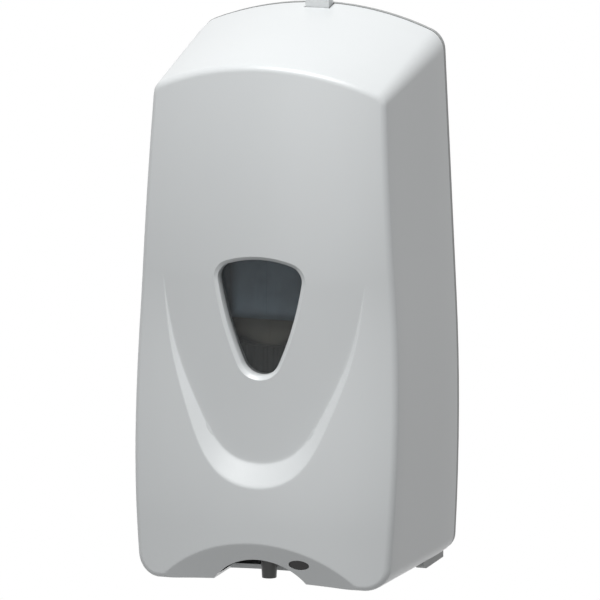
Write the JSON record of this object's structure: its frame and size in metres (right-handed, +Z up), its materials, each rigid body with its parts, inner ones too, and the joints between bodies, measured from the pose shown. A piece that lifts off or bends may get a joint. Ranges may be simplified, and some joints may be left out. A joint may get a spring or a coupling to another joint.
{
  "type": "automatic soap dispenser",
  "caption": "Touch-free foam soap dispenser for a wall, with a hinged front cover over a soap refill, a battery pump drive and a nozzle that points down.",
  "frame": {"origin": "centre of the four wall screws, on the rear face of the back plate", "axes": "+Y into the wall, -Y out of the front, +X to the right seen from the front, +Z up"},
  "size_m": [0.1536, 0.1201, 0.3045],
  "materials": {
    "housing_plastic": "satin moulded, fine grain",
    "window_clear": "clear moulded plastic",
    "sensor_dark": "dark infrared filter",
    "plate_plastic": "moulded",
    "latch_plastic": "satin moulded",
    "spring_steel": "drawn wire",
    "pin_steel": "ground",
    "chassis_plastic": "moulded",
    "bottle_plastic": "blown, faintly translucent",
    "collar_plastic": "ribbed moulding",
    "pump_plastic": "moulded, translucent",
    "piston_plastic": "moulded",
    "spout_plastic": "satin moulded",
    "carriage_plastic": "low-friction moulding",
    "gear_plastic": "low-friction moulding",
    "case_plastic": "moulded",
    "motor_steel": "drawn can",
    "cell_sleeve": "shrunk sleeve",
    "contact_metal": "nickel plated",
    "board_laminate": "coated laminate",
    "board_black": "moulded",
    "led_resin": "clear resin",
    "screw_steel": "zinc plated"
  },
  "bodies": {
    "frame": {"back_plate": "plate_plastic", "chassis": "chassis_plastic", "small_screws": "screw_steel", "guide_rods": "pin_steel", "return_springs": "spring_steel", "latch_spring": "spring_steel", "refill_bottle": "bottle_plastic", "refill_collar": "collar_plastic", "pump_cylinder": "pump_plastic", "battery_box": "case_plastic", "battery_cells": "cell_sleeve", "battery_contacts": "contact_metal", "battery_door": "case_plastic", "control_board": "board_laminate", "board_parts": "board_black", "sensor_board": "board_laminate", "sensor_leds": "led_resin", "gearbox_case": "case_plastic", "gearbox_cover": "case_plastic", "gear_pins": "pin_steel", "motor": "motor_steel"},
    "cover": {"cover_shell": "housing_plastic", "window_lens": "window_clear", "sensor_lens": "sensor_dark", "hinge_pins": "pin_steel"},
    "latch": {"latch_slider": "latch_plastic"},
    "carriage": {"lift_carriage": "carriage_plastic", "pump_piston": "piston_plastic", "foam_spout": "spout_plastic"},
    "output": {"output_gear": "gear_plastic", "rack_pinion": "gear_plastic"},
    "second": {"second_gear": "gear_plastic"},
    "first": {"first_gear": "gear_plastic"},
    "rotor": {"motor_pinion": "gear_plastic"}
  },
  "joints": [
    {"name": "cover_hinge", "type": "hinge", "parent": "frame", "child": "cover", "pos_m": [0, -0.03, -0.147], "axis": [1, 0, 0], "range_deg": [0, 90]},
    {"name": "latch_press", "type": "slide", "parent": "frame", "child": "latch", "axis": [0, 0, -1], "range_m": [0, 0.0046], "stiffness_N_per_m": 900, "springref_m": -0.003, "deforming": ["latch_spring"]},
    {"name": "pump_lift", "type": "slide", "parent": "frame", "child": "carriage", "axis": [0, 0, 1], "range_m": [0, 0.012], "stiffness_N_per_m": 400, "springref_m": -0.004, "deforming": ["return_springs"]},
    {"name": "output_turn", "type": "hinge", "parent": "frame", "child": "output", "pos_m": [0.05, -0.044, -0.088], "axis": [-1, 0, 0], "range_deg": [0, 90]},
    {"name": "second_turn", "type": "hinge", "parent": "frame", "child": "second", "pos_m": [0.05, -0.06202, -0.10062], "axis": [-1, 0, 0], "range_deg": [-300, 0]},
    {"name": "first_turn", "type": "hinge", "parent": "frame", "child": "first", "pos_m": [0.05, -0.04882, -0.11429], "axis": [-1, 0, 0], "range_deg": [0, 830]},
    {"name": "motor_turn", "type": "hinge", "parent": "frame", "child": "rotor", "pos_m": [0.05, -0.03103, -0.12094], "axis": [-1, 0, 0], "range_deg": [-2400, 0]}
  ],
  "couplings": [
    {"joint": "output_turn", "follows": "pump_lift", "rad_per_m": 125},
    {"joint": "second_turn", "follows": "pump_lift", "rad_per_m": -425},
    {"joint": "first_turn", "follows": "pump_lift", "rad_per_m": 1190},
    {"joint": "motor_turn", "follows": "pump_lift", "rad_per_m": -3332}
  ]
}
